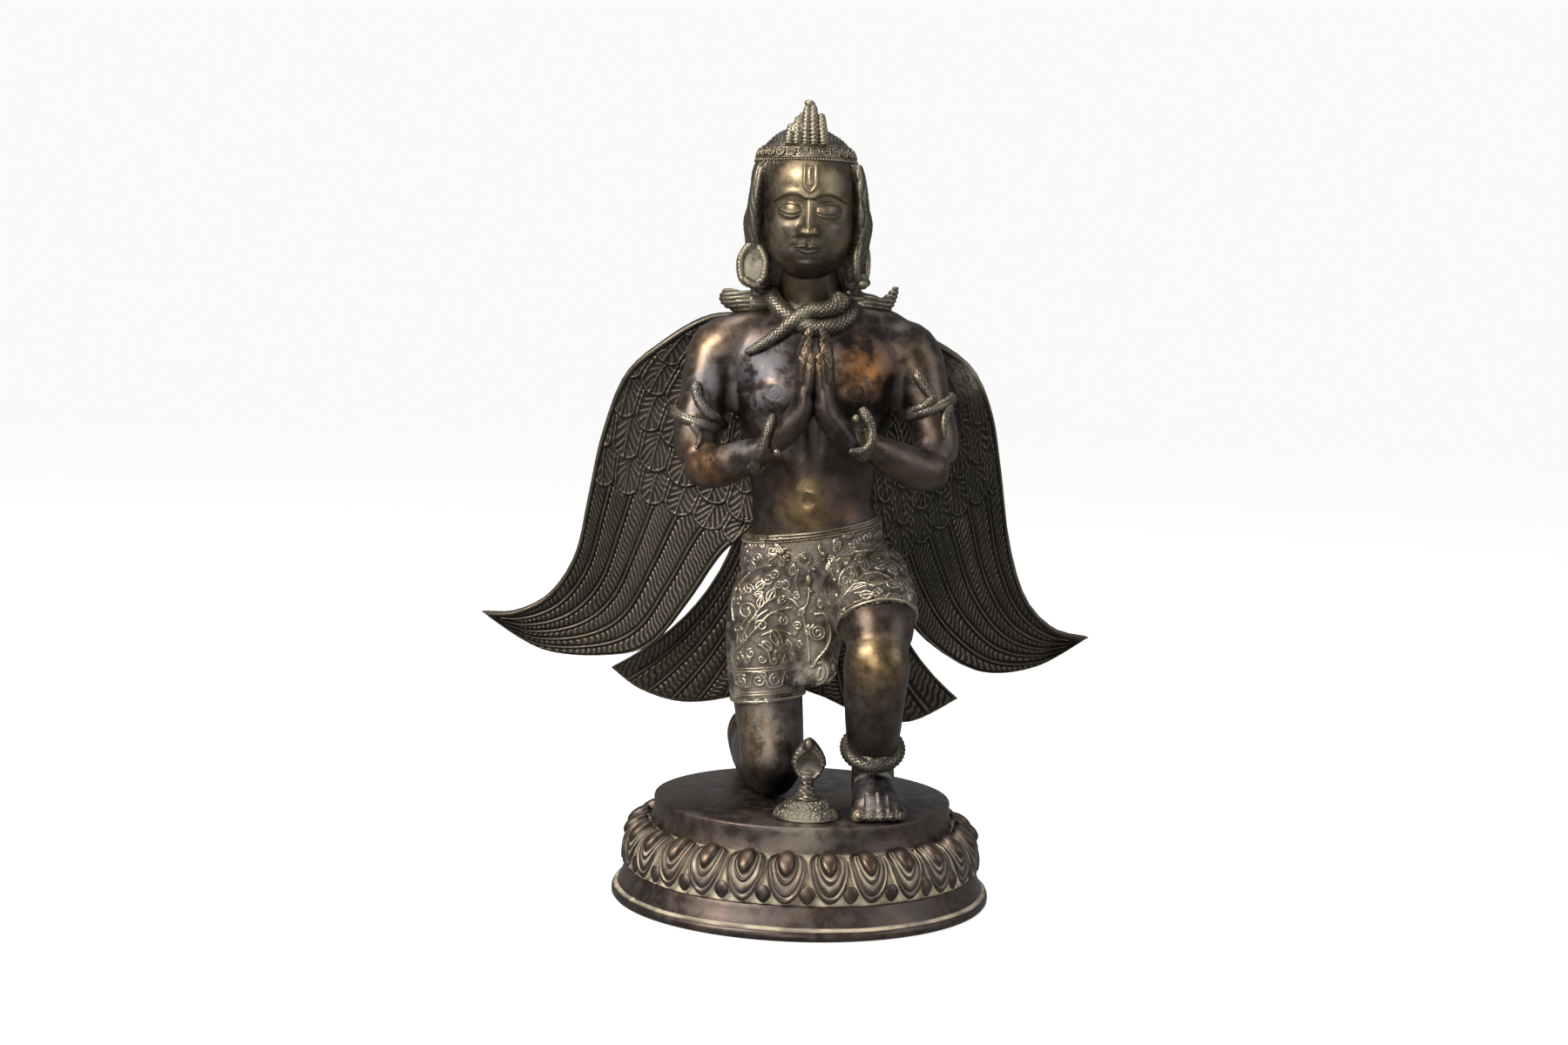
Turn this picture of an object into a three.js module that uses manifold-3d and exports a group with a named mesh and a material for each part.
// A cast bronze garuda: a winged figure that kneels on one knee with its palms together, on a round
// lotus plinth. Its two wings and its tail are thin cast sheets, each seated on a lug on the figure's
// back, and a small rearing cobra stands in front of it. Millimetres, +Z up, the figure faces -Y, and
// the origin is the centre of the plinth's underside.
import * as THREE from "three";
import { mergeVertices } from "three/addons/utils/BufferGeometryUtils.js";
import Module from "manifold-3d";

const wasm = await Module();
wasm.setup();

// Driving dimensions
const FIGURE_TALL = 420; // from the plinth's top to the tip of the crest
const PLINTH_TALL = 60;
const PLINTH_RADIUS = 115; // at the foot
const DRUM_RADIUS = 90; // of the plain drum that the figure kneels on
const DRUM_TALL = 16.5;
const FOOT_LIP_TALL = 5.5; // the lip round the plinth's foot
const FOOT_LIP_PROUD = 3;
const FOOT_BAND_TALL = 15; // the plain band between the lip and the petals
const PETALS = 27;
const PETAL_PHASE = 0.69; // how far round from the front the first petal stands, in petals
const PETAL_PROUD = 3.2; // how far a petal stands out of the ring
const WING_SHEET = 2.6; // the cast sheet's thickness
const TAIL_SHEET = 2.6;
const RIM_PROUD = 1.6; // how far the rim along a wing's leading edge stands out of the sheet
const WING_SEAT = 37; // how far behind the axis the wings' lugs meet the figure's
const TAIL_SEAT = 43;
const JOINT_GAP = 0.3; // between pieces that are pegged or soldered together
const CLOTH_PROUD = 1.4; // how far the wrap stands out of the skin
const COBRA_TALL = 46;
const COBRA_BASE_RADIUS = 19.5;
const COBRA_FORWARD = 61; // from the plinth's axis to the cobra's

// The figure's pose and proportions are drawn at a height of 420 parts above the plinth's top, so that
// they follow FIGURE_TALL. Stations are [x, y, z, half width, half depth] in those parts.
const PARTS_TALL = 420;
const PART = FIGURE_TALL / PARTS_TALL;
const FRONT = [0, -1, 0];
const UP = [0, 0, 1];

// A closed mesh as a solid that can be joined and cut.
function solidOf(geometry) {
  const bare = geometry.index ? geometry.clone() : mergeVertices(geometry);
  bare.deleteAttribute("normal");
  bare.deleteAttribute("uv");
  const merged = mergeVertices(bare, 1e-4);
  return new wasm.Manifold(
    new wasm.Mesh({
      numProp: 3,
      vertProperties: merged.attributes.position.array,
      triVerts: new Uint32Array(merged.index.array),
    }),
  );
}

// A solid as a geometry, with flat faces.
function geometryOf(solid) {
  const mesh = solid.getMesh();
  const geometry = new THREE.BufferGeometry();
  geometry.setAttribute("position", new THREE.BufferAttribute(mesh.vertProperties.slice(), 3));
  geometry.setIndex(new THREE.BufferAttribute(mesh.triVerts.slice(), 1));
  const flat = geometry.toNonIndexed();
  flat.computeVertexNormals();
  return flat;
}

function joined(solids) {
  return solids.reduce((whole, piece) => whole.add(piece));
}

// The Catmull-Rom value at share t of a list of equal-length rows.
function along(rows, t) {
  const last = rows.length - 1;
  const place = Math.min(Math.max(t, 0), 1) * last;
  const i = Math.min(Math.floor(place), last - 1);
  const f = place - i;
  const [a, b, c, d] = [i - 1, i, i + 1, i + 2].map((n) => rows[Math.min(Math.max(n, 0), last)]);
  return b.map((_, k) => {
    const [slope, bend] = [c[k] - a[k], 2 * a[k] - 5 * b[k] + 4 * c[k] - d[k]];
    return b[k] + 0.5 * f * (slope + f * (bend + f * (3 * (b[k] - c[k]) + d[k] - a[k])));
  });
}

// A ball drawn out along a run of stations: a closed limb with rounded ends. Its half width lies across
// the run and the front, and its half depth along the front. With `even` its rings are spread evenly,
// and `crowd` draws its columns towards the front.
function drawn(stations, options = {}) {
  const { sides = 10, rings = 8, front = FRONT, blunt = 5, even = false, crowd = 0, shape } = options;
  const ball = new THREE.SphereGeometry(1, sides, rings);
  const place = ball.attributes.position;
  const facing = new THREE.Vector3(...front);
  const tangent = new THREE.Vector3();
  const across = new THREE.Vector3();
  const back = new THREE.Vector3();
  for (let i = 0; i < place.count; i++) {
    const polar = Math.acos(THREE.MathUtils.clamp(place.getY(i), -1, 1));
    const round = Math.atan2(place.getX(i), place.getZ(i));
    const turn = round + crowd * Math.sin(round);
    const pole = Math.sin(polar) < 1e-6;
    const t = even ? polar / Math.PI : (1 - Math.cos(polar)) / 2;
    const cap = pole ? 0 : (1 - Math.abs(2 * t - 1) ** blunt) ** (1 / blunt);
    const [x, y, z, wide, deep] = along(stations, t);
    const [before, after] = [along(stations, t - 0.01), along(stations, t + 0.01)];
    tangent.set(after[0] - before[0], after[1] - before[1], after[2] - before[2]).normalize();
    across.crossVectors(tangent, facing).normalize();
    back.crossVectors(tangent, across);
    const point = new THREE.Vector3(x, y, z)
      .addScaledVector(across, wide * cap * Math.sin(turn))
      .addScaledVector(back, deep * cap * Math.cos(turn));
    if (shape) shape(point);
    place.setXYZ(i, point.x, point.y, point.z);
  }
  return solidOf(ball);
}

// A ball of three radii, with its poles above and below.
function lump([x, y, z], [rx, ry, rz], { sides = 8, rings = 6 } = {}) {
  const ball = new THREE.SphereGeometry(1, sides, rings).rotateX(Math.PI / 2).scale(rx, ry, rz);
  return solidOf(ball.translate(x, y, z));
}

// A ring whose radii along X and Y differ, `tall` times as tall as it is thick, tipped about Y and X.
function ring({ centre, radii, thick, tall = 1, lean = 0, nod = 0 }, { sides = 4, steps = 8 } = {}) {
  const [rx, ry] = radii;
  const torus = new THREE.TorusGeometry(1, thick / rx, sides, steps).scale(rx, ry, rx * tall);
  return solidOf(torus.rotateY(lean).rotateX(nod).translate(...centre));
}

// The same rows on the other side of the body.
function mirrored(stations) {
  return stations.map(([x, ...rest]) => [-x, ...rest]);
}

// A shaping step that swells the front of a drawn ball. Each swelling is
// [x, z, half width, half height, forward], and it fades from full at the depth `from` to none at `to`.
function swellings(list, middle, from, to) {
  return (point) => {
    const facing = THREE.MathUtils.clamp((to - point.y) / (to - from), 0, 1);
    const x = point.x - middle;
    for (const [cx, cz, wide, tall, forward] of list) {
      const far = ((x - cx) / wide) ** 2 + ((point.z - cz) / tall) ** 2;
      point.y -= facing * forward * Math.exp(-far);
    }
  };
}

// Torso and neck
const SPINE = [
  [1, 6, 122, 38, 28],
  [2, 5, 145, 42, 31],
  [3, 3, 160, 39, 28],
  [1, 1, 178, 36, 25],
  [0.5, 0, 198, 39, 26],
  [0.5, 0, 220, 49, 28],
  [0, 1, 244, 56, 29],
  [0, 4, 267, 60.5, 27],
  [-1, 7, 286, 57, 22],
  [-2, 7, 297, 38, 19],
  [-5, 4, 314, 18.5, 18],
  [-6, 0, 332, 18, 20],
];
const TORSO_SWELLINGS = [
  [-25, 248, 19, 15, 8],
  [25, 248, 19, 15, 8],
  [0, 184, 20, 20, 8],
  [0, 270, 9, 14, -2],
  [0, 222, 4, 16, -1.5],
];

function torso() {
  return drawn(SPINE, { sides: 14, rings: 11, blunt: 9, shape: swellings(TORSO_SWELLINGS, 0, -22, -2) });
}

// Head and face. The face is a plain calm one on thirds: hairline to brow, brow to nose, nose to chin.
const CHIN = 312;
const HAIRLINE = 377;
const THIRD = (HAIRLINE - CHIN) / 3;
const HEAD = [
  [-5.6, -23, CHIN, 11, 9],
  [-5.8, -17, CHIN + 8, 18.5, 19],
  [-6, -10, CHIN + 20, 24, 27],
  [-6.3, -5, CHIN + 34, 26.5, 32],
  [-6.6, -2, CHIN + 50, 27.5, 35],
  [-7, -1, CHIN + 65, 27, 34.5],
  [-7.2, 0, CHIN + 76, 25, 31],
];
const BROW_Z = HAIRLINE - THIRD;
const EYE_Z = BROW_Z - 0.25 * THIRD;
const NOSE_Z = BROW_Z - THIRD;
const MOUTH_Z = NOSE_Z - THIRD / 3;
const EYE_APART = 11; // from the middle of the face to the middle of an eye
const FACE_X = -6;
const FACE_SWELLINGS = [
  [0, NOSE_Z + 2, 4.6, 4, 7],
  [0, NOSE_Z + 11, 3, 8, 5],
  [0, MOUTH_Z + 1, 8, 3, 3.8],
  [0, MOUTH_Z - 5, 9, 2.5, -1.5],
  [0, CHIN + 5, 9, 5, 5.5],
  ...[-1, 1].flatMap((side) => [
    [side * EYE_APART, EYE_Z - 1, 7, 5, -4.5],
    [side * EYE_APART, EYE_Z - 1, 4, 2.6, 3],
    [side * EYE_APART, BROW_Z + 2, 9, 3, 1.5],
    [side * 14, NOSE_Z + 1, 8, 7, 2],
  ]),
];

function head() {
  const shape = swellings(FACE_SWELLINGS, FACE_X, -28, -4);
  return drawn(HEAD, { sides: 16, rings: 16, blunt: 4, even: true, crowd: 0.5, shape });
}

// Hair, ears, crown and crest
const HAIR = [
  [-6, 22, 292, 30, 12],
  [-6, 19, 306, 31, 17],
  [-6, 15, 322, 33, 22],
  [-6.5, 11, 340, 36.5, 25],
  [-7, 6, 358, 33.5, 30],
  [-7.8, 2, 372, 31.6, 35],
  [-8, 1, 382, 28.5, 33],
  [-8, 1, 391, 23, 27],
  [-8, 1, 398, 17, 20],
  [-8, 1, 403, 11, 13],
];
const CROWN = { centre: [-7.8, 0, 379.5], radii: [27.8, 33.8], thick: 2.4, tall: 2.5, nod: 0.04 };
const CREST = [
  // [x at the foot, x at the tip, tip's height]
  [-19.5, -17.5, 404],
  [-14, -12, 410],
  [-7.6, -7, 420],
  [-1.2, -1.6, 416],
  [4.6, 2.4, 411],
];
const EARLOBE_Z = 331;

function headdress() {
  const band = ring(CROWN, { sides: 4, steps: 14 });
  const crownZ = CROWN.centre[2];
  const crest = CREST.map(([foot, tip, top]) =>
    drawn(
      [
        [foot, -32, crownZ - 2, 3.4, 3],
        [foot, -33, crownZ + 15, 3.4, 3.2],
        [tip, -28, top, 3, 3],
      ],
      { sides: 4, rings: 4, blunt: 4 },
    ),
  );
  return [band, ...crest];
}

// One side's ear, with the dished ring that hangs from its long lobe.
function ear(side) {
  const x = -6.5 + side * 34;
  const shell = drawn(
    [
      [x - side * 3, 1, EARLOBE_Z + 30, 3, 4],
      [x + side, 0, EARLOBE_Z + 20, 5, 7],
      [x - side, -3, EARLOBE_Z + 8, 4.5, 5],
      [x - side, -6, EARLOBE_Z - 4, 4, 4],
    ],
    { sides: 5, rings: 4 },
  );
  const dish = lump([0, 0, 0], [11.5, 5, 14.5], { sides: 8, rings: 4 });
  const hollow = lump([0, -4.4, 0], [8, 4, 11], { sides: 6, rings: 3 });
  const hung = dish.subtract(hollow).rotate([0, 0, side * 28]);
  return [shell, hung.translate([-6.5 + side * 33, -9, EARLOBE_Z - 15])];
}

// Curled locks that lie out over the shoulders.
const RIGHT_LOCK = [
  [-24, 8, 298, 8, 7],
  [-42, 5, 298, 6, 7],
  [-52, 7, 300, 4.5, 6],
  [-57.5, 10, 303, 3, 4.5],
];
const LEFT_LOCK = [
  [14, 8, 300, 8, 7],
  [31, 3, 299, 7, 6],
  [41, 5, 299, 4.5, 4.5],
  [48, 8, 310, 1.6, 2],
];

function hair() {
  const locks = [RIGHT_LOCK, LEFT_LOCK].map((lock) => drawn(lock, { sides: 5, rings: 4, front: UP }));
  return [drawn(HAIR, { sides: 12, rings: 7, blunt: 4 }), ...locks, ...ear(-1), ...ear(1)];
}

// Arms and hands. The figure's right arm is on -X.
const RIGHT_ARM = [
  [-36, 8, 271, 15, 14],
  [-57, 6, 270, 18, 18],
  [-64, -2, 240, 16, 16.5],
  [-67, -8, 220, 15, 15],
  [-69, -13, 202, 13.5, 13.5],
];
const RIGHT_FOREARM = [
  [-70, -14, 200, 13, 13.5],
  [-58, -24, 200, 12.5, 12],
  [-44, -35, 205, 11, 10.5],
  [-31, -45, 211, 8.5, 8.5],
  [-23, -50, 217, 7.5, 8],
];
const LEFT_ARM = [
  [36, 8, 272, 15, 14],
  [56, 6, 271, 18, 18],
  [65, -2, 241, 16, 16.5],
  [71, -8, 222, 15, 15],
  [75, -13, 205, 13.5, 13.5],
];
const LEFT_FOREARM = [
  [76, -14, 203, 13, 13.5],
  [64, -24, 202, 12.5, 12],
  [49, -35, 208, 11, 10.5],
  [36, -45, 215, 8.5, 8.5],
  [21, -51, 223, 7, 8],
];
const PALM = [
  [-24, -50, 216, 7, 8],
  [-15, -54, 228, 6, 9.5],
  [-7, -56, 244, 5, 11],
  [-4.6, -57, 256, 4, 11],
];
const FINGERTIPS_Z = 283;
const FINGERS = [
  [-10, -56, 236, 4.2, 9],
  [-4.4, -56.6, 250, 3.6, 11],
  [-3.8, -56.6, 264, 3.4, 10],
  [-2.8, -56, FINGERTIPS_Z - 4, 2.6, 6.5],
  [-2.2, -55.5, FINGERTIPS_Z, 1.6, 3],
];
const THUMB = [
  [-11, -48, 232, 4.4, 4.4],
  [-5, -44, 246, 3.8, 3.8],
  [-3, -43, 260, 2.8, 2.8],
];

function hand(side) {
  const put = side < 0 ? (rows) => rows : mirrored;
  return [
    drawn(put(PALM), { sides: 7, rings: 4 }),
    drawn(put(FINGERS), { sides: 6, rings: 5 }),
    drawn(put(THUMB), { sides: 4, rings: 4 }),
  ];
}

function arms() {
  const limbs = [RIGHT_ARM, RIGHT_FOREARM, LEFT_ARM, LEFT_FOREARM];
  return [...limbs.map((rows) => drawn(rows, { sides: 8, rings: 5, blunt: 4 })), ...hand(-1), ...hand(1)];
}

// Legs and feet. The right knee is down and the left foot is forward.
const RIGHT_THIGH = [
  [-19, 6, 140, 24, 28],
  [-24, 2, 108, 24, 26],
  [-24, -2, 72, 22.5, 23],
  [-20, -6, 40, 19.5, 20.5],
  [-18.5, -8, 18, 18.5, 20],
  [-18.5, -8, 2, 12, 14],
];
const RIGHT_SHIN = [
  [-18.5, -8, 17, 17, 17],
  [-24, 14, 19, 17, 19],
  [-31, 38, 20, 14, 16],
  [-36.5, 66, 26, 9.5, 11],
];
const RIGHT_FOOT = [
  [-36, 60, 38, 9, 8],
  [-36.5, 67, 26, 11, 9],
  [-37.5, 72, 12, 13.5, 8],
  [-38, 69, 3, 13.5, 7],
];
const LEFT_THIGH = [
  [24, 10, 134, 26, 28],
  [32, -10, 132, 27, 26],
  [38, -32, 124, 24.5, 24],
  [41, -52, 110, 21.5, 21],
  [41, -62, 96, 19, 19],
];
const LEFT_SHIN = [
  [41, -62, 104, 18, 16],
  [41, -64, 94, 19.5, 17.5],
  [40.5, -58, 72, 17.5, 18],
  [40.5, -49, 48, 15.5, 18],
  [41, -42, 28, 11.5, 13],
  [41.5, -38, 12, 11, 13],
];
const LEFT_FOOT = [
  [41, -22, 9, 9.5, 9],
  [41.5, -36, 14, 11, 13.5],
  [42.5, -50, 10, 13, 11],
  [43.5, -62, 6, 14.5, 7.5],
  [44, -68, 4, 14, 5],
];
const TOES = [
  // [x, y, half width], from the big toe outwards
  [33.4, -71, 4.8],
  [40.4, -71.5, 3.4],
  [46.6, -71, 3.2],
  [52.3, -69.5, 3.1],
  [57.4, -67, 2.9],
];

function legs() {
  const calf = drawn(LEFT_SHIN, { sides: 9, rings: 6, blunt: 4 });
  const knee = drawn(LEFT_THIGH.slice(2), { sides: 8, rings: 4, blunt: 4, front: UP });
  const kneeling = drawn(RIGHT_THIGH.slice(2), { sides: 8, rings: 4, blunt: 4 });
  const lying = { sides: 7, rings: 4, blunt: 4, front: UP };
  const flat = [RIGHT_SHIN, LEFT_FOOT].map((rows) => drawn(rows, lying));
  const tucked = drawn(RIGHT_FOOT, { sides: 7, rings: 4, blunt: 4 });
  const instep = lump([41.5, -40, 9], [9.5, 15, 13], { sides: 6, rings: 4 });
  const toes = TOES.map(([x, y, wide]) => lump([x, y, 3.6], [wide, 6.5, 4.2], { sides: 4, rings: 3 }));
  return [calf, knee, kneeling, ...flat, tucked, instep, ...toes];
}

// The wrap: a sleeve of cloth on each thigh, a sash that hangs between them, and a roped belt.
const RIGHT_HEM = { z: 60, centre: [-22.8, -2.6, 67], radii: [23.4, 24.8], thick: 1.4, tall: 5 };
const LEFT_HEM = { at: [40, -58, 119], facing: [0.1, 0.84, 0.54] };
const SASH = [
  [10, -20, 146, 15, 9],
  [9, -25, 124, 15, 9],
  [8, -26, 98, 14, 8],
  [9, -25, 76, 11, 7],
  [8, -24, 66, 8, 5],
];
const BELT = { centre: [3, -1, 160], radii: [39.5, 29.5], thick: 2.6, tall: 0.8, lean: -0.1, nod: 0.14 };

// The rows of a limb grown by the cloth's thickness.
function clothed(rows) {
  const grow = CLOTH_PROUD / PART;
  return rows.map(([x, y, z, wide, deep]) => [x, y, z, wide + grow, deep + grow]);
}

function wrap() {
  const sleeve = { sides: 9, rings: 6, blunt: 4 };
  const facing = new THREE.Vector3(...LEFT_HEM.facing).normalize();
  const hemAt = facing.dot(new THREE.Vector3(...LEFT_HEM.at));
  const rightSleeve = drawn(clothed(RIGHT_THIGH), sleeve).trimByPlane(UP, RIGHT_HEM.z);
  const raised = drawn(clothed(LEFT_THIGH), { ...sleeve, front: UP });
  const leftSleeve = raised.trimByPlane(facing.toArray(), hemAt);
  const [hemBand, belt] = [RIGHT_HEM, BELT].map((band) => ring(band, { sides: 4, steps: 11 }));
  const sash = drawn(SASH, { sides: 6, rings: 5, blunt: 6 });
  const knot = lump([-2, -31, 139], [7, 4, 9], { sides: 5, rings: 3 });
  return [rightSleeve, leftSleeve, hemBand, belt, sash, knot];
}

// The serpents worn as ornaments: two knotted round the neck, one on each upper arm and wrist, and one
// round the left ankle. Each one's rows run from tail to head.
const NECK_SERPENTS = [
  [
    [-20, 14, 303, 4, 4],
    [-25, 0, 301, 4.4, 4.4],
    [-22, -11, 297, 4.6, 4.6],
    [-12, -16, 291, 4.8, 4.8],
    [2, -18, 285, 4.8, 4.8],
    [15, -16, 287, 4.6, 4.6],
    [23, -7, 296, 4.4, 4.4],
    [18, 8, 302, 4, 4],
  ],
  [
    [-19, -18, 281, 3.4, 3.4],
    [-12, -19, 290, 4, 4],
    [-3, -17, 297, 4.4, 4.4],
    [6, -18, 294, 4.6, 4.6],
    [14, -16, 295, 4.8, 4.8],
    [17, -13, 303, 6, 6.5],
  ],
  [
    [-17, -18, 288, 3.4, 3.4],
    [-24, -17, 279, 3.2, 3.2],
    [-33, -19, 271, 2.6, 2.6],
    [-43, -19, 265, 1.4, 1.4],
  ],
];
const ARMLET_RING = { radii: [17.4, 17.4], thick: 2.6, tall: 1.2 };
const ARMLETS = [
  {
    centre: [-65, -6, 227],
    ...ARMLET_RING,
    lean: 0.22,
    head: [
      [-50, -19, 220, 3, 3],
      [-60, -22, 229, 3.2, 3.2],
      [-64, -21, 240, 3, 2.6],
      [-66, -20, 249, 2.4, 2],
    ],
  },
  {
    centre: [70, -7, 228],
    ...ARMLET_RING,
    lean: -0.34,
    head: [
      [52, -20, 222, 3, 3],
      [66, -22, 234, 3.2, 3.2],
      [65, -20, 247, 3, 2.6],
      [61, -18, 257, 2.2, 2],
    ],
  },
];
const CUFFS = [
  { centre: [-27, -48, 214], radii: [10.5, 10.5], thick: 3, lean: 0.95, nod: 0.35 },
  { centre: [31, -48, 218.5], radii: [10.5, 10.5], thick: 3, lean: -0.95, nod: 0.35 },
  { centre: [41, -43, 32], radii: [15, 16.5], thick: 3.4, nod: 0.1 },
];

function serpents() {
  const coiled = { sides: 4, front: UP, blunt: 6 };
  const necklace = NECK_SERPENTS.map((rows) => drawn(rows, { ...coiled, rings: rows.length }));
  const heads = ARMLETS.map((armlet) => drawn(armlet.head, { sides: 4, rings: 4 }));
  const rings = [...ARMLETS, ...CUFFS].map((band) => ring(band));
  return [...necklace, ...heads, ...rings];
}

// The lugs on the back that the wings and the tail are seated on, in parts.
const LUGS = {
  wing_right: { centre: [-27, 258], half: [7, 16], seat: WING_SEAT },
  wing_left: { centre: [27, 258], half: [7, 16], seat: WING_SEAT },
  tail: { centre: [0, 146], half: [13, 12], seat: TAIL_SEAT },
};
const LUG_FROM = 12; // the depth inside the back at which they start

function block([x0, x1], [y0, y1], [z0, z1]) {
  const box = new THREE.BoxGeometry(x1 - x0, y1 - y0, z1 - z0);
  return solidOf(box.translate((x0 + x1) / 2, (y0 + y1) / 2, (z0 + z1) / 2));
}

// A lug in millimetres above the plinth's top, from one depth to another.
function lug({ centre: [x, z], half: [hx, hz] }, from, to) {
  return block([(x - hx) * PART, (x + hx) * PART], [from, to], [(z - hz) * PART, (z + hz) * PART]);
}

function figure() {
  const body = [torso(), head(), ...headdress(), ...hair(), ...arms(), ...legs()];
  const dressed = joined([...body, ...wrap(), ...serpents()]).scale(PART);
  const lugs = Object.values(LUGS).map((place) => lug(place, LUG_FROM * PART, place.seat));
  return joined([dressed, ...lugs]).trimByPlane(UP, JOINT_GAP);
}

// Wings. Each edge is a list of [x, y, z] in parts, from the shoulder to the tip.
const RIGHT_WING = {
  lug: LUGS.wing_right,
  leading: [
    [-40, 42, 290],
    [-67, 40, 287],
    [-91, 42, 273],
    [-116, 50, 251],
    [-130, 58, 214],
    [-139, 65, 176],
    [-148, 71, 137],
    [-166, 76, 110],
    [-188, 80, 97.5],
    [-210, 84, 95.5],
  ],
  trailing: [
    [-22, 42, 276],
    [-22, 43, 240],
    [-30, 45, 205],
    [-38, 47, 176],
    [-52, 52, 138],
    [-70, 57, 117],
    [-98, 65, 90],
    [-128, 73, 71],
    [-171, 79, 71],
    [-210, 84, 95],
  ],
};
const LEFT_WING = {
  lug: LUGS.wing_left,
  leading: [
    [38, 42, 290],
    [58, 40, 285],
    [81, 42, 275],
    [100, 49, 260],
    [112, 56, 234],
    [119, 62, 200],
    [127, 68, 152],
    [139, 72, 117],
    [158, 78, 97.5],
    [181, 84, 91.5],
  ],
  trailing: [
    [22, 42, 276],
    [22, 43, 240],
    [28, 45, 208],
    [36, 47, 176],
    [48, 52, 136],
    [60, 57, 108],
    [80, 65, 85.5],
    [112, 73, 68.5],
    [148, 79, 72],
    [181, 84, 91],
  ],
};
const WING_CAMBER = 7; // how far a wing's middle lies behind its two edges, in parts
const COVERT_ROWS = 4; // rows of short feathers from the shoulder down
const COVERTS_END = 0.46; // the share of the wing's length that they cover
const COVERTS_WIDE = 4; // short feathers in a row
const SCALLOP = 0.05; // how deep their rounded ends are, as a share of the wing's length
const PRIMARIES = 6; // long feathers below them
const LONG_ROWS = 4; // rows of points down the long feathers
const FEATHER_PROUD = 1.3; // how far a feather's end or quill stands out of the sheet

// The point of a wing at share s of its length and share w from its leading edge.
function wingPoint({ leading, trailing }, s, w) {
  const [a, b] = [along(leading, s), along(trailing, s)];
  const camber = WING_CAMBER * 4 * w * (1 - w) * (1 - s * s);
  const point = new THREE.Vector3(...a).lerp(new THREE.Vector3(...b), w);
  point.y += camber;
  return point.multiplyScalar(PART);
}

// The rows of points down a wing. Each short feather's row has two: one on top of its scalloped end and
// one just under it. The long feathers' rows are plain, and stand out on every other column.
function wingRows() {
  const rows = [{ s: 0, scallop: () => 0, proud: () => 0 }];
  for (let row = 0; row < COVERT_ROWS; row++) {
    const s = (COVERTS_END * (row + 1)) / COVERT_ROWS;
    const scallop = (w) => SCALLOP * Math.abs(Math.cos(Math.PI * (COVERTS_WIDE * w + row / 2)));
    rows.push({ s: s - SCALLOP, scallop, proud: () => FEATHER_PROUD });
    rows.push({ s: s - 0.7 * SCALLOP, scallop, proud: () => 0 });
  }
  for (let row = 1; row <= LONG_ROWS; row++) {
    const f = row / LONG_ROWS;
    const proud = (column) => (column % 2 ? FEATHER_PROUD * (1 - 0.7 * f) : 0);
    rows.push({ s: COVERTS_END + (1 - COVERTS_END) * f, scallop: () => 0, proud });
  }
  return rows;
}

// A closed sheet over a grid of points: pointAt gives a point of its middle, and proudAt how far its
// front stands out there beyond half of its thickness.
function sheet(pointAt, proudAt, rows, columns, thick) {
  const points = [];
  const faces = [];
  const at = (i, j, back) => (i * (columns + 1) + j) * 2 + back;
  for (let i = 0; i <= rows; i++) {
    for (let j = 0; j <= columns; j++) {
      const here = pointAt(i, j);
      const down = pointAt(Math.min(i + 1, rows), j).sub(pointAt(Math.max(i - 1, 0), j));
      const over = pointAt(i, Math.min(j + 1, columns)).sub(pointAt(i, Math.max(j - 1, 0)));
      const out = over.cross(down).normalize();
      if (out.lengthSq() < 0.5 || Math.abs(out.y) < 0.3) out.set(0, 1, 0);
      if (out.y < 0) out.negate();
      points.push(here.clone().addScaledVector(out, -thick / 2 - proudAt(i, j)));
      points.push(here.clone().addScaledVector(out, thick / 2));
    }
  }
  const quad = (a, b, c, d) => faces.push(a, b, c, a, c, d);
  for (let i = 0; i < rows; i++) {
    for (let j = 0; j < columns; j++) {
      quad(at(i, j, 0), at(i, j + 1, 0), at(i + 1, j + 1, 0), at(i + 1, j, 0));
      quad(at(i, j, 1), at(i + 1, j, 1), at(i + 1, j + 1, 1), at(i, j + 1, 1));
    }
    quad(at(i, 0, 0), at(i + 1, 0, 0), at(i + 1, 0, 1), at(i, 0, 1));
    quad(at(i, columns, 0), at(i, columns, 1), at(i + 1, columns, 1), at(i + 1, columns, 0));
  }
  for (let j = 0; j < columns; j++) {
    quad(at(0, j, 0), at(0, j, 1), at(0, j + 1, 1), at(0, j + 1, 0));
    quad(at(rows, j, 0), at(rows, j + 1, 0), at(rows, j + 1, 1), at(rows, j, 1));
  }
  const geometry = new THREE.BufferGeometry();
  const flatList = points.flatMap((point) => point.toArray());
  geometry.setAttribute("position", new THREE.Float32BufferAttribute(flatList, 3));
  geometry.setIndex(faces);
  const made = solidOf(geometry);
  return made.volume() > 0 ? made : solidOf(flipped(geometry));
}

// The same geometry with each face turned round.
function flipped(geometry) {
  const index = geometry.index.array.slice();
  for (let i = 0; i < index.length; i += 3) [index[i + 1], index[i + 2]] = [index[i + 2], index[i + 1]];
  return geometry.clone().setIndex(new THREE.BufferAttribute(index, 1));
}

function wing(shape) {
  const rows = wingRows();
  const columns = 2 * PRIMARIES;
  const pointAt = (i, j) => {
    const { s, scallop } = rows[i];
    const w = j / columns;
    return wingPoint(shape, s + scallop(w), w);
  };
  const proudAt = (i, j) => Math.max(rows[i].proud(j), j ? 0 : RIM_PROUD);
  const blade = sheet(pointAt, proudAt, rows.length - 1, columns, WING_SHEET);
  const seat = lug(shape.lug, WING_SEAT + JOINT_GAP, (along(shape.trailing, 0.1)[1] + WING_CAMBER) * PART);
  return joined([blade, seat]).trimByPlane([0, 1, 0], WING_SEAT + JOINT_GAP);
}

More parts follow.
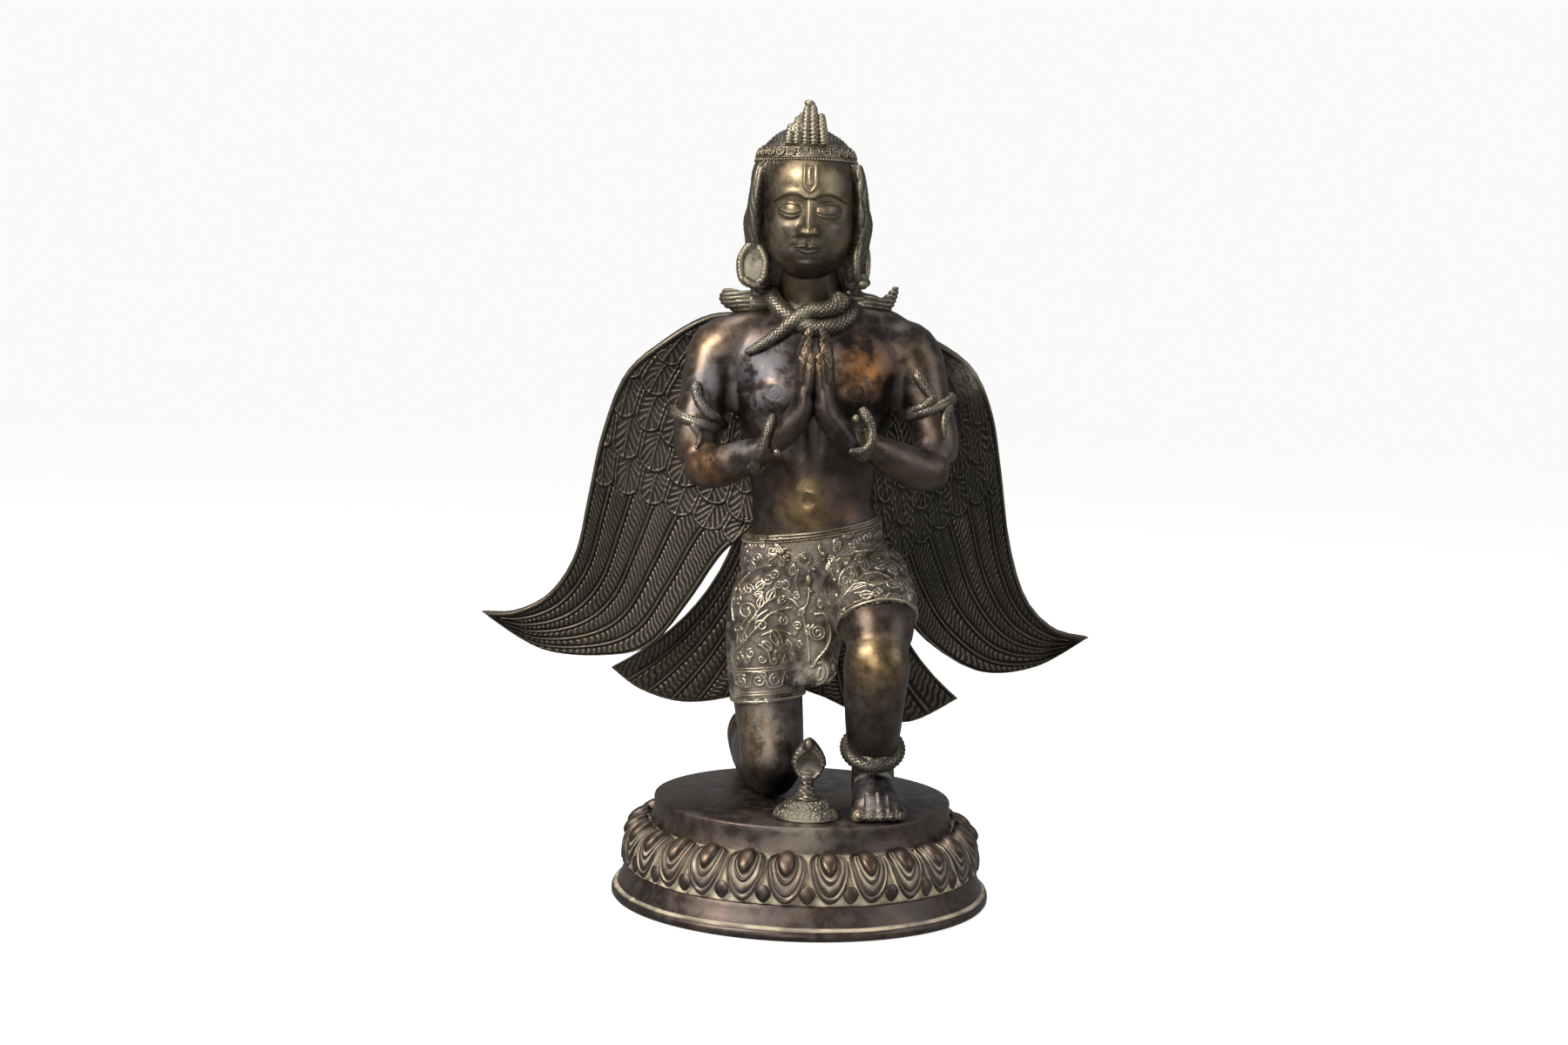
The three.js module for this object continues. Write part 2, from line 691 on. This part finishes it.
// Tail. Its lower edge runs from the right tip, over the notch in the middle, to the left tip.
const TAIL_EDGE = [
  [-126, 90, 61.5],
  [-107, 90, 48],
  [-80, 88, 41],
  [-50, 86, 45],
  [-22, 84, 56],
  [8, 84, 49],
  [37, 86, 37],
  [68, 88, 32.5],
  [99, 92, 48],
];
const TAIL_ROOT = [26, 48, 160]; // half width, depth and height where the tail leaves the waist
const TAIL_DRAWN_IN = 26; // how far the sides draw in before they spread to the tips
const TAIL_DROP = 21; // how far its middle hangs below the straight line from root to edge
const TAIL_CAMBER = 8; // and behind it
const TAIL_QUILLS = 7;
const TAIL_ROWS = 4;

function tailPoint(s, w) {
  const edge = along(TAIL_EDGE, w);
  const [half, deep, high] = TAIL_ROOT;
  const side = 2 * w - 1;
  const point = new THREE.Vector3(side * half, deep, high).lerp(new THREE.Vector3(...edge), s);
  const bow = new THREE.Vector3(-side * TAIL_DRAWN_IN, TAIL_CAMBER, -TAIL_DROP);
  return point.addScaledVector(bow, s * (1 - s)).multiplyScalar(PART);
}

function tail() {
  const columns = 2 * TAIL_QUILLS;
  const pointAt = (i, j) => tailPoint(i / TAIL_ROWS, j / columns);
  const proudAt = (i, j) => (j % 2 && i ? FEATHER_PROUD : 0);
  const seat = lug(LUGS.tail, TAIL_SEAT + JOINT_GAP, (TAIL_ROOT[1] + 3) * PART);
  const fan = sheet(pointAt, proudAt, TAIL_ROWS, columns, TAIL_SHEET);
  return joined([fan, seat]).trimByPlane([0, 1, 0], TAIL_SEAT + JOINT_GAP);
}

// Plinth. Heights up its side, from the foot to the drum's top.
const BAND_TOP = FOOT_LIP_TALL + FOOT_BAND_TALL;
const RING_TOP = PLINTH_TALL - DRUM_TALL;
const BAND_IN = 5.5; // how far the band's top lies in from the foot
const RING_RADIUS = PLINTH_RADIUS - BAND_IN;
const DRUM_SWELL = 2.6; // how much wider the drum's foot is than its top
const PETAL_COLUMNS = [0, 0.5, 1, 0.5]; // how far each column lies from a petal's middle, in half widths
const PETAL_TIP = 4; // the profile's point at the petals' tips
const PETAL_BELLY = 5; // and at their widest
const PETAL_RISE = 8; // how much higher the ground between two petals starts than their tips
const TIP_PROUD = 0.75 * PETAL_PROUD;

function plinth() {
  const profile = [
    [0, 0],
    [PLINTH_RADIUS, 0],
    [PLINTH_RADIUS - FOOT_LIP_PROUD, FOOT_LIP_TALL],
    [RING_RADIUS, BAND_TOP],
    [RING_RADIUS - 1.8, BAND_TOP + 1],
    [RING_RADIUS - 6, BAND_TOP + 0.55 * (RING_TOP - BAND_TOP)],
    [DRUM_RADIUS + DRUM_SWELL, RING_TOP],
    [DRUM_RADIUS, PLINTH_TALL],
    [0, PLINTH_TALL],
  ];
  const turned = new THREE.LatheGeometry(
    profile.map(([r, z]) => new THREE.Vector2(r, z)),
    PETALS * PETAL_COLUMNS.length,
  );
  const place = turned.attributes.position;
  for (let i = 0; i < place.count; i++) {
    const row = i % profile.length;
    if (row !== PETAL_TIP && row !== PETAL_BELLY) continue;
    const aside = PETAL_COLUMNS[Math.floor(i / profile.length) % PETAL_COLUMNS.length];
    const [radius, z] = profile[row];
    const proud = row === PETAL_TIP ? TIP_PROUD : PETAL_PROUD;
    const grow = 1 + (proud * (1 - aside ** 4)) / radius;
    const rise = row === PETAL_TIP ? PETAL_RISE * aside ** 2 : 0;
    place.setXYZ(i, place.getX(i) * grow, z + rise, place.getZ(i) * grow);
  }
  // The two halves of a petal are split along mirrored diagonals.
  const faces = [];
  for (let i = 0; i < place.count - profile.length; i++) {
    if (i % profile.length === profile.length - 1) continue;
    const [a, b, c, d] = [i, i + profile.length, i + profile.length + 1, i + 1];
    const rising = Math.floor(i / profile.length) % PETAL_COLUMNS.length < PETAL_COLUMNS.length / 2;
    faces.push(...(rising ? [a, b, c, a, c, d] : [a, b, d, b, c, d]));
  }
  turned.setIndex(faces);
  return solidOf(turned.rotateX(Math.PI / 2)).rotate([0, 0, (PETAL_PHASE * 360) / PETALS]);
}

// Cobra: a coiled body in two turns, a neck, and a spread hood that is hollow in front.
function cobra() {
  const [R, H] = [COBRA_BASE_RADIUS, COBRA_TALL];
  const step = 0.11 * H; // height of one turn of the coil
  const profile = [
    [0, 0],
    [R - 1, 0],
    [R, 0.5 * step],
    [R - 3.5, step],
    [R - 5, 1.6 * step],
    [R - 9, 2 * step],
    [0, 2 * step],
  ];
  const turned = new THREE.LatheGeometry(profile.map(([r, z]) => new THREE.Vector2(r, z)), 12);
  const coil = solidOf(turned.rotateX(Math.PI / 2));
  const neck = drawn(
    [
      [0, 1, 0.18 * H, 0.36 * R, 0.34 * R],
      [0, 2, 0.3 * H, 0.26 * R, 0.26 * R],
      [-0.5, 2, 0.42 * H, 0.17 * R, 0.19 * R],
      [0, 2, 0.54 * H, 0.24 * R, 0.2 * R],
    ],
    { sides: 6, rings: 5, blunt: 7 },
  );
  const hood = lump([0.4, 1.5, 0.7 * H], [0.54 * R, 0.24 * R, 0.27 * H], { sides: 8, rings: 6 });
  const hollow = lump([0.4, -0.19 * R, 0.66 * H], [0.4 * R, 0.26 * R, 0.17 * H], { sides: 6, rings: 4 });
  const crown = lump([0, -0.02 * R, 0.91 * H], [0.17 * R, 0.24 * R, 0.09 * H], { sides: 6, rings: 3 });
  const made = joined([coil, neck, hood.subtract(hollow), crown]);
  return made.trimByPlane(UP, 0);
}

// Materials: one dark bronze throughout, dustier where the chasing is fine.
const BRONZE = { metalness: 0.85, roughness: 0.42 };
const finishes = {
  plinth: new THREE.MeshStandardMaterial({ color: "#4a3b30", ...BRONZE }),
  figure: new THREE.MeshStandardMaterial({ color: "#54463a", ...BRONZE }),
  wing: new THREE.MeshStandardMaterial({ color: "#413a30", ...BRONZE }),
  cobra: new THREE.MeshStandardMaterial({ color: "#5d5648", ...BRONZE }),
};

function piece(name, solid, finish, [x, y, z]) {
  const mesh = new THREE.Mesh(geometryOf(solid), finish);
  mesh.name = name;
  mesh.position.set(x, y, z);
  return mesh;
}

const garuda = new THREE.Group();
garuda.name = "garuda_figure";
garuda.add(piece("plinth", plinth(), finishes.plinth, [0, 0, 0]));
garuda.add(piece("figure", figure(), finishes.figure, [0, 0, PLINTH_TALL]));
garuda.add(piece("wing_right", wing(RIGHT_WING), finishes.wing, [0, 0, PLINTH_TALL]));
garuda.add(piece("wing_left", wing(LEFT_WING), finishes.wing, [0, 0, PLINTH_TALL]));
garuda.add(piece("tail", tail(), finishes.wing, [0, 0, PLINTH_TALL]));
garuda.add(piece("cobra", cobra(), finishes.cobra, [3, -COBRA_FORWARD, PLINTH_TALL + JOINT_GAP]));

export default garuda;
